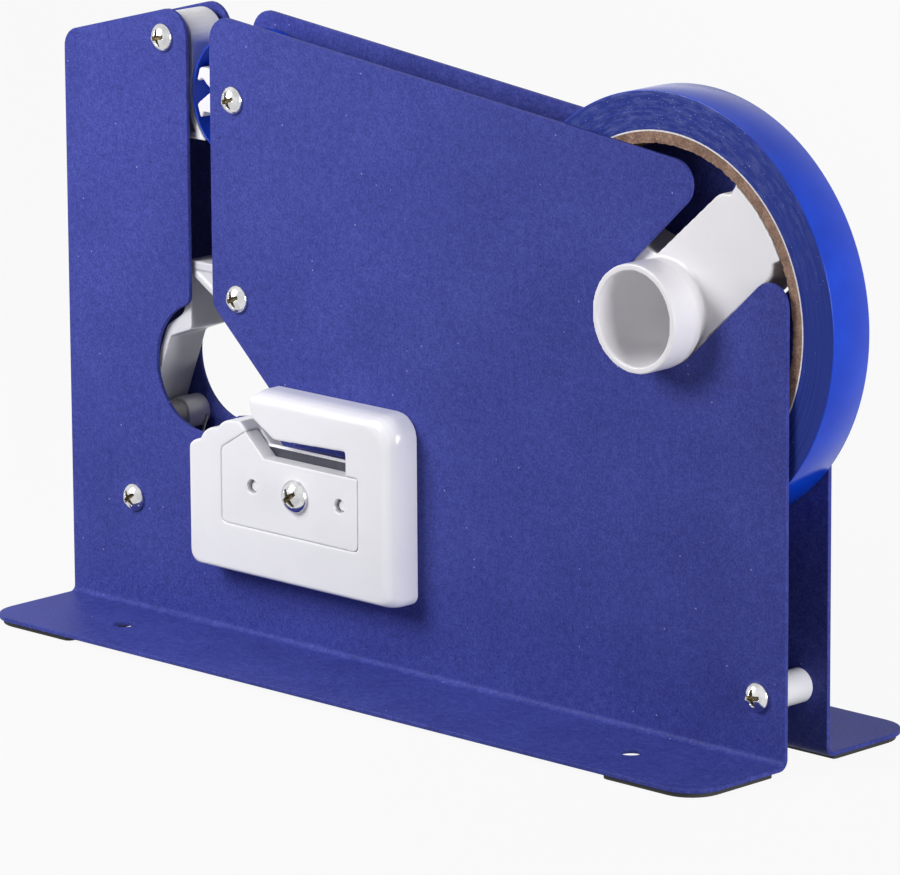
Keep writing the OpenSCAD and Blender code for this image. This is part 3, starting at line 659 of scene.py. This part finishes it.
def polarCoords(tree, centre):
    # distance from an axis along Y, the angle round it and the place across the tape
    parts = addNode(tree, "ShaderNodeSeparateXYZ", {"Vector": objectCoords(tree, centre)})
    x, z = parts.outputs["X"], parts.outputs["Z"]
    radius = maths(tree, "SQRT", maths(tree, "MULTIPLY_ADD", x, x, maths(tree, "MULTIPLY", z, z)))
    return {"radius": radius, "angle": maths(tree, "ARCTAN2", z, x), "across": parts.outputs["Y"]}


def unrolled(tree, first, firstScale, second, secondScale):
    # two measures as a flat place for a noise, each with its own scale
    x, y = maths(tree, "MULTIPLY", first, firstScale), maths(tree, "MULTIPLY", second, secondScale)
    return addNode(tree, "ShaderNodeCombineXYZ", {"X": x, "Y": y, "Z": 0.0}).outputs[0]


def tapeFilm():
    mat, tree, shader = newMaterial("blueTapeFilm", rough=0.2, spec=0.32)
    polar = polarCoords(tree, hubAxis)
    place = unrolled(tree, polar["angle"], tapeLook["filmPerRadian"], polar["across"],
                     tapeLook["filmPerMetre"])
    cloud = noiseField(tree, place, tapeLook["filmScale"], 3.0)
    link(tree, colourRamp(tree, cloud, *tapeLook["film"]), shader, "Base Color")
    link(tree, bump(tree, cloud, tapeLook["filmWaves"], tapeLook["filmStrength"]), shader, "Normal")
    return mat


def woundNoise(tree, polar, look):
    place = unrolled(tree, polar["radius"], look["perMetre"], polar["angle"], look["perRadian"])
    return noiseField(tree, place, 1.0, look["detail"], look["rough"])


def tapeSide():
    mat, tree, shader = newMaterial("blueTapeSide", rough=0.55, spec=0.12)
    polar = polarCoords(tree, hubAxis)
    layers = woundNoise(tree, polar, tapeLook["layers"])
    scuffs = woundNoise(tree, polar, tapeLook["scuffs"])
    dots = woundNoise(tree, polar, tapeLook["dots"])
    base = colourRamp(tree, layers, *tapeLook["side"])
    # the pale scuffs grow stronger towards the top, a painted sheen of the light from above
    upper = maths(tree, "SINE", polar["angle"])
    reach = {"Value": upper, "From Min": tapeLook["upperSheenFrom"], "From Max": 1.0}
    upperSheen = addNode(tree, "ShaderNodeMapRange", reach).outputs[0]
    scuffsAndSheen = maths(tree, "MULTIPLY", greyRamp(tree, scuffs, *tapeLook["hazeShares"]), upperSheen)
    base = blendColour(tree, scuffsAndSheen, base, toLinear(*tapeLook["scuffsAndSheen"]))
    # pale specks grow more common towards the top, also part of the painted sheen
    level = maths(tree, "MULTIPLY_ADD", upperSheen, tapeLook["speckDrop"], tapeLook["speckLevel"])
    dot = maths(tree, "MULTIPLY", maths(tree, "GREATER_THAN", dots, level), tapeLook["speckStrength"])
    link(tree, blendColour(tree, dot, base, toLinear(*tapeLook["speck"])), shader, "Base Color")
    link(tree, bump(tree, layers, tapeLook["sideRings"], tapeLook["ringStrength"]), shader, "Normal")
    return mat


def turnedRing(name, profile, centre, segments, shift):
    # a closed profile of (radius, across, slot) turned round the hub's axis; shift moves each point
    mesh = bpy.data.meshes.new(name)
    bm = bmesh.new()
    rows = []
    for i in range(segments):
        angle = 2 * math.pi * i / segments
        row = []
        for k, (radius, across, slot) in enumerate(profile):
            radius, across = shift(angle, k, radius, across)
            spot = Vector((radius * math.cos(angle), across, radius * math.sin(angle)))
            row.append(bm.verts.new(centre + spot))
        rows.append(row)
    count = len(profile)
    for i in range(segments):
        a, b = rows[i], rows[(i + 1) % segments]
        for k in range(count):
            m = (k + 1) % count
            bm.faces.new((a[k], a[m], b[m], b[k])).material_index = profile[k][2]
    bmesh.ops.recalc_face_normals(bm, faces=bm.faces)
    bm.to_mesh(mesh)
    bm.free()
    return mesh


def makeTapeRoll():
    outer = (rollHigh.x - rollLow.x) / 2
    inner = (coreHigh.x - coreLow.x) / 2 + tapeLook["corePlay"]
    half = (rollHigh.y - rollLow.y) / 2
    r = tapeLook["edgeRound"]
    steps = tapeLook["sideSteps"]
    climb = [inner + (outer - r - inner) * k / steps for k in range(steps)]
    profile = [(radius, -half, 1) for radius in climb]
    profile += [(outer - r, -half, 0), (outer - 0.3 * r, -half + 0.3 * r, 0), (outer, -half + r, 0),
                (outer, half - r, 0), (outer - 0.3 * r, half - 0.3 * r, 0), (outer - r, half, 1)]
    profile += [(radius, half, 1) for radius in reversed(climb)]

    def layerWander(angle, k, radius, across):
        # wound layers never lie dead level with each other
        spot = Vector((radius * 900, math.cos(angle) * 0.8, math.sin(angle) * 0.8))
        inset = 0.5 + 0.5 * noise.noise(spot)
        if radius < outer - 1.5 * r:
            across -= math.copysign(tapeLook["wander"] * inset, across)
        return radius, across

    mesh = turnedRing("tapeRoll", profile, hubAxis, tapeLook["segments"], layerWander)
    smoothShade(mesh, 50)
    addPiece("tapeRoll", mesh, "roll", [filmBlue, sideBlue], ["tape_roll"])


filmBlue = tapeFilm()
sideBlue = tapeSide()
makeTapeRoll()
for nodeName in ("tape_web", "tape_lead"):
    coatNode(nodeName, filmBlue)
print("tape roll wound")


# Cardboard core: brown fibres, a torn inner edge and a thin line of white liner paper outside.
coreLook = {
    "segments": 480, "ragged": 0.4 * mm, "raggedAcross": 0.25 * mm, "paperLine": 0.34 * mm,
    "wall": 3.0 * mm, "innerDip": 0.1 * mm,
    "tones": ((0.36, (104, 80, 70)), (0.5, (140, 112, 97)), (0.64, (172, 143, 124))),
    "fibrePerMetre": 1900, "blotchPerMetre": 300, "fibreShare": 0.65, "blotchShare": 0.35,
    "glint": (238, 212, 186), "glintPerMetre": 900, "glintShare": 0.06, "glintSize": 0.14,
    "glintStrength": 0.7, "fibreHeight": 0.25 * mm, "fibreStrength": 0.8,
    "paper": ((0.3, (212, 206, 210)), (0.7, (240, 236, 240))), "paperPerMetre": 1200,
}


def coreBoard():
    mat, tree, shader = newMaterial("coreBoard", rough=0.9, spec=0.2)
    place = objectCoords(tree)
    fibre = noiseField(tree, place, coreLook["fibrePerMetre"], 4.0, 0.75)
    blotch = noiseField(tree, place, coreLook["blotchPerMetre"], 2.0)
    under = maths(tree, "MULTIPLY", blotch, coreLook["blotchShare"])
    mix = maths(tree, "MULTIPLY_ADD", fibre, coreLook["fibreShare"], under)
    board = colourRamp(tree, mix, *coreLook["tones"])
    found = specks(tree, place, coreLook["glintPerMetre"], coreLook["glintShare"], coreLook["glintSize"])
    glint = maths(tree, "MULTIPLY", found, coreLook["glintStrength"])
    link(tree, blendColour(tree, glint, board, toLinear(*coreLook["glint"])), shader, "Base Color")
    link(tree, bump(tree, fibre, coreLook["fibreHeight"], coreLook["fibreStrength"]), shader, "Normal")
    return mat


def linerPaper():
    mat, tree, shader = newMaterial("linerPaper", rough=0.75)
    fibre = noiseField(tree, objectCoords(tree), coreLook["paperPerMetre"], 3.0)
    link(tree, colourRamp(tree, fibre, *coreLook["paper"]), shader, "Base Color")
    return mat


def makeCore():
    outer = (coreHigh.x - coreLow.x) / 2
    inner = outer - coreLook["wall"]
    half = (coreHigh.y - coreLow.y) / 2
    paper = outer - coreLook["paperLine"]
    mid = (inner + paper) / 2
    bore = inner + coreLook["innerDip"]
    # the slot is 1 for liner paper; the first and the eighth point are the torn inner edges
    profile = [(inner, -half, 0), (mid, -half, 0), (paper, -half, 1), (outer, -half, 1), (outer, half, 1),
               (paper, half, 0), (mid, half, 0), (inner, half, 0), (bore, half * 0.5, 0),
               (bore, -half * 0.5, 0)]

    def tornEdge(angle, k, radius, across):
        # the inner edge is fuzzy where the tube was cut
        spot = Vector((math.cos(angle) * 34, math.sin(angle) * 34, 1.0 if across > 0 else 5.0))
        tear = max(0.0, noise.noise(spot) + 0.6 * noise.noise(spot * 2.7))
        if k in (0, 7):
            radius += coreLook["ragged"] * tear
            across -= math.copysign(coreLook["raggedAcross"] * tear, across)
        return radius, across

    mesh = turnedRing("tapeCore", profile, hubAxis, coreLook["segments"], tornEdge)
    smoothShade(mesh, 40)
    addPiece("tapeCore", mesh, "roll", [coreBoard(), linerPaper()], ["tape_core"])


makeCore()
print("core made")


# Stage: a white studio floor, four softboxes and the photograph's camera.
stageLook = {"floorGrey": 0.3, "floorSize": 6.0, "floorGlow": 0.93, "ambient": 0.05}
# The back softbox only fills: the glossy tread would show it as a white patch.
lampLook = {
    "keySoftbox": {"place": (-0.24, -0.38, 0.33), "size": (0.26, 0.26), "watts": 2.9, "mirrored": True},
    "sideSoftbox": {"place": (1.05, -0.11, 0.24), "size": (0.3, 0.5), "watts": 8.5, "mirrored": True},
    "topSoftbox": {"place": (0.05, 0.25, 1.05), "size": (0.8, 0.6), "watts": 0.5, "mirrored": True},
    "backSoftbox": {"place": (-0.25, 1.15, 0.4), "size": (0.7, 0.5), "watts": 7.0, "mirrored": False},
}


def seenRays(tree):
    # 1 for what the camera sees, straight, mirrored or through glass
    path = addNode(tree, "ShaderNodeLightPath")
    mirrored = maths(tree, "MAXIMUM", path.outputs["Is Glossy Ray"], path.outputs["Is Transmission Ray"])
    return maths(tree, "MAXIMUM", path.outputs["Is Camera Ray"], mirrored)


def makeFloor():
    mesh = bpy.data.meshes.new("studioFloor")
    reach = stageLook["floorSize"] / 2
    corners = [(x * reach, y * reach, 0) for x, y in ((-1, -1), (1, -1), (1, 1), (-1, 1))]
    mesh.from_pydata(corners, [], [(0, 1, 2, 3)])
    obj = bpy.data.objects.new("studioFloor", mesh)
    bpy.context.scene.collection.objects.link(obj)
    base = grey(stageLook["floorGrey"])
    mat, tree, shader = newMaterial("studioFloor", base=base, rough=0.9, spec=0.1)
    glow = addNode(tree, "ShaderNodeEmission", {"Color": grey(1.0), "Strength": 1.0})
    share = maths(tree, "MULTIPLY", seenRays(tree), stageLook["floorGlow"])
    mix = addNode(tree, "ShaderNodeMixShader", {0: share, 1: shader.outputs[0], 2: glow.outputs[0]})
    tree.links.new(mix.outputs[0], tree.nodes["Material Output"].inputs["Surface"])
    mesh.materials.append(mat)


def addLamp(name, target, look):
    lamp = bpy.data.lights.new(name, "AREA")
    lamp.shape = "RECTANGLE"
    lamp.size, lamp.size_y = look["size"]
    lamp.energy = look["watts"]
    obj = bpy.data.objects.new(name, lamp)
    bpy.context.scene.collection.objects.link(obj)
    obj.location = look["place"]
    obj.visible_glossy = look["mirrored"]
    obj.rotation_euler = (target - Vector(look["place"])).to_track_quat("-Z", "Y").to_euler()


def makeWorld():
    world = bpy.data.worlds.new("studioWorld")
    bpy.context.scene.world = world
    world.use_nodes = True
    tree = world.node_tree
    back = tree.nodes["Background"]
    ambient = stageLook["ambient"]
    back.inputs["Color"].default_value = grey(1.0)
    strength = maths(tree, "MULTIPLY_ADD", seenRays(tree), 1 - ambient, ambient)
    tree.links.new(strength, back.inputs["Strength"])


makeFloor()
makeWorld()
for name, look in lampLook.items():
    addLamp(name, (cadLow + cadHigh) / 2, look)

# The photograph's camera, solved from the plates' edges.
cameraFit = {
    "place": (1.088375, -1.116311, 0.423228), "azimuth": 44.294, "elevation": 13.155, "roll": -0.374,
    "focalPixels": 6881.3, "imageWidth": 900, "sensor": 36.0, "clipStart": 0.05, "clipEnd": 50,
}


def makeCamera():
    data = bpy.data.cameras.new("photoCamera")
    data.sensor_width = cameraFit["sensor"]
    data.lens = cameraFit["focalPixels"] / cameraFit["imageWidth"] * cameraFit["sensor"]
    data.clip_start, data.clip_end = cameraFit["clipStart"], cameraFit["clipEnd"]
    obj = bpy.data.objects.new("photoCamera", data)
    bpy.context.scene.collection.objects.link(obj)
    az, el, roll = (math.radians(cameraFit[key]) for key in ("azimuth", "elevation", "roll"))
    ahead = Vector((-math.sin(az) * math.cos(el), math.cos(az) * math.cos(el), -math.sin(el)))
    right = ahead.cross(Vector((0, 0, 1))).normalized()
    up = right.cross(ahead)
    c, s = math.cos(roll), math.sin(roll)
    right, up = c * right + s * up, c * up - s * right
    turn = Matrix((right, up, -ahead)).transposed()
    obj.matrix_world = Matrix.Translation(cameraFit["place"]) @ turn.to_4x4()
    bpy.context.scene.camera = obj


makeCamera()
bpy.context.scene.view_settings.view_transform = "Standard"
print("stage set")
